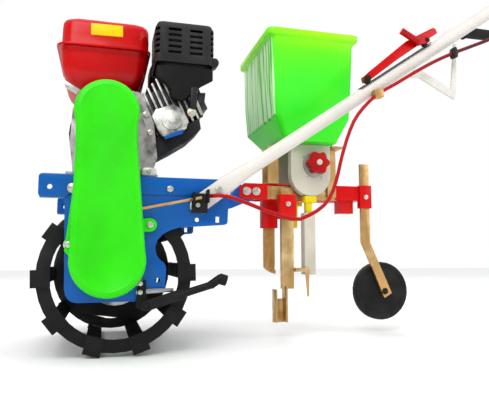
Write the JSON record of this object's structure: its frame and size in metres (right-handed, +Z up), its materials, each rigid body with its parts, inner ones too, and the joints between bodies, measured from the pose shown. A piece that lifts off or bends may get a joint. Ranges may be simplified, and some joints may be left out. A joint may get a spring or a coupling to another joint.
{
  "type": "push seeder",
  "caption": "Walk-behind seeder: engine over a steel cage wheel, belt cover at the side, two handle tubes, and a rear bar with hopper, metering, openers and press wheel.",
  "frame": {"origin": "middle of the machine's overall box, on the ground plane under the wheels", "axes": "+X to the rear along the handles, -Y the belt cover side, +Z up"},
  "size_m": [1.4314, 0.5232, 0.976],
  "materials": {
    "blue_paint": "glossy blue enamel",
    "green_paint": "bright green enamel",
    "hopper_plastic": "bright green moulded plastic, slightly see-through",
    "red_paint": "glossy red enamel",
    "black_paint": "satin black paint",
    "white_paint": "off-white enamel",
    "zinc": "yellow zinc plate",
    "cast_alloy": "bare die-cast alloy",
    "steel": "turned steel",
    "black_rubber": "matt black rubber",
    "press_tyre": "matt black rubber tread",
    "black_plastic": "textured black plastic",
    "red_plastic": "red moulded plastic",
    "pale_plastic": "off-white moulded plastic",
    "yellow_plastic": "yellow moulded plastic",
    "cable_sleeve": "red plastic cable sleeve"
  },
  "bodies": {
    "chassis": {"near_side_plate": "blue_paint", "far_side_plate": "blue_paint", "engine_deck": "blue_paint", "hitch_member": "blue_paint", "axle_bearing": "cast_alloy", "gearbox_housing": "cast_alloy", "drive_belt": "black_rubber", "belt_cover": "green_paint", "cover_back_plate": "green_paint", "cable_bracket": "black_paint", "clutch_cable": "cable_sleeve", "engine_crankcase": "cast_alloy", "engine_cylinder": "cast_alloy", "cylinder_side_cover": "cast_alloy", "fuel_tank": "red_paint", "muffler_body": "black_paint", "muffler_guard": "black_paint", "fan_housing": "red_paint", "air_cleaner": "black_plastic", "carburettor": "cast_alloy", "recoil_handle": "black_plastic", "near_handle_tube": "white_paint", "far_handle_tube": "white_paint", "handle_cross_tube": "white_paint", "near_grip": "black_rubber", "far_grip": "black_rubber", "cable_stay": "white_paint", "lever_saddle": "black_paint", "clutch_perch": "black_paint", "stand_bracket": "black_paint", "toolbar": "red_paint", "hopper": "hopper_plastic", "near_metering_box": "pale_plastic", "far_metering_box": "pale_plastic", "near_chute": "yellow_plastic", "far_chute": "yellow_plastic", "front_strut": "zinc", "rear_strut": "zinc"},
    "ground_wheel": {"cage_near_half": "black_paint", "cage_far_half": "black_paint", "wheel_spider": "black_paint", "wheel_axle": "steel"},
    "gearbox_input": {"driven_pulley": "steel"},
    "engine_output": {"drive_pulley": "steel"},
    "tension_arm": {"idler_arm": "zinc"},
    "tension_roller": {"idler_pulley": "steel"},
    "tension_rod": {"clutch_rod": "zinc"},
    "clutch_hand_lever": {"clutch_lever": "black_paint"},
    "long_lever": {"drive_lever": "red_paint"},
    "short_latch": {"latch_lever": "red_paint"},
    "stand_leg": {"kick_stand": "black_paint"},
    "front_tine": {"front_opener": "zinc"},
    "rear_tine": {"rear_opener": "zinc", "seed_pipe": "pale_plastic"},
    "press_leg": {"press_arm": "zinc"},
    "press_roller": {"press_wheel": "press_tyre"},
    "feed_roller": {"metering_roller": "pale_plastic"},
    "feed_knob": {"metering_knob": "red_plastic"},
    "tank_cap": {"fuel_cap": "black_plastic"},
    "throttle": {"throttle_lever": "black_plastic"}
  },
  "joints": [
    {"name": "ground_wheel_turn", "type": "hinge", "parent": "chassis", "child": "ground_wheel", "pos_m": [-0.55825, 0.01435, 0.1556], "axis": [0, 1, 0], "continuous": true},
    {"name": "gearbox_input_turn", "type": "hinge", "parent": "chassis", "child": "gearbox_input", "pos_m": [-0.57475, -0.24365, 0.186], "axis": [0, 1, 0], "continuous": true},
    {"name": "engine_output_turn", "type": "hinge", "parent": "chassis", "child": "engine_output", "pos_m": [-0.58275, -0.24365, 0.463], "axis": [0, 1, 0], "continuous": true},
    {"name": "clutch_squeeze", "type": "hinge", "parent": "chassis", "child": "clutch_hand_lever", "pos_m": [0.54375, -0.20895, 0.913], "axis": [0, -1, 0], "range_deg": [0, 17], "stiffness_Nm_per_rad": 3, "springref_deg": -6.88},
    {"name": "clutch_rod_pull", "type": "slide", "parent": "chassis", "child": "tension_rod", "axis": [0.9782, 0, 0.2077], "range_m": [0, 0.0083]},
    {"name": "tension_arm_swing", "type": "hinge", "parent": "chassis", "child": "tension_arm", "pos_m": [-0.58275, -0.22565, 0.395], "axis": [0, -1, 0], "range_deg": [0, 4]},
    {"name": "tension_roller_turn", "type": "hinge", "parent": "tension_arm", "child": "tension_roller", "pos_m": [-0.56525, -0.24365, 0.3], "axis": [0, 1, 0], "continuous": true},
    {"name": "long_lever_swing", "type": "hinge", "parent": "chassis", "child": "long_lever", "pos_m": [-0.02525, -0.20895, 0.587], "axis": [0, 1, 0], "range_deg": [-18, 1.5]},
    {"name": "latch_flip", "type": "hinge", "parent": "chassis", "child": "short_latch", "pos_m": [0.12175, -0.22495, 0.687], "axis": [0, 1, 0], "range_deg": [0, 80]},
    {"name": "stand_swing", "type": "hinge", "parent": "chassis", "child": "stand_leg", "pos_m": [-0.50125, -0.21295, 0.099], "axis": [0, 1, 0], "range_deg": [0, 46]},
    {"name": "front_opener_depth", "type": "slide", "parent": "chassis", "child": "front_tine", "axis": [0, 0, 1], "range_m": [-0.055, 0.04]},
    {"name": "rear_opener_depth", "type": "slide", "parent": "chassis", "child": "rear_tine", "axis": [0, 0, 1], "range_m": [-0.04, 0]},
    {"name": "press_wheel_height", "type": "slide", "parent": "chassis", "child": "press_leg", "axis": [0, 0, 1], "range_m": [-0.045, 0.045]},
    {"name": "press_wheel_turn", "type": "hinge", "parent": "press_leg", "child": "press_roller", "pos_m": [0.11675, 0.01235, 0.105], "axis": [0, 1, 0], "continuous": true},
    {"name": "feed_roller_turn", "type": "hinge", "parent": "chassis", "child": "feed_roller", "pos_m": [-0.08325, 0.01435, 0.42], "axis": [0, 1, 0], "continuous": true},
    {"name": "feed_knob_set", "type": "hinge", "parent": "feed_roller", "child": "feed_knob", "pos_m": [-0.08325, -0.06165, 0.42], "axis": [0, 1, 0], "range_deg": [-150, 150]},
    {"name": "fuel_cap_turn", "type": "hinge", "parent": "chassis", "child": "tank_cap", "pos_m": [-0.58925, 0.02935, 0.717], "axis": [0, 0, 1], "range_deg": [0, 90]},
    {"name": "throttle_set", "type": "hinge", "parent": "chassis", "child": "throttle", "pos_m": [-0.53425, 0.08635, 0.5], "axis": [0, 1, 0], "range_deg": [-20, 20]}
  ],
  "couplings": [
    {"joint": "gearbox_input_turn", "follows": "ground_wheel_turn", "ratio": 12},
    {"joint": "clutch_rod_pull", "follows": "clutch_squeeze", "m_per_rad": 0.027},
    {"joint": "tension_arm_swing", "follows": "clutch_squeeze", "ratio": 0.224}
  ]
}
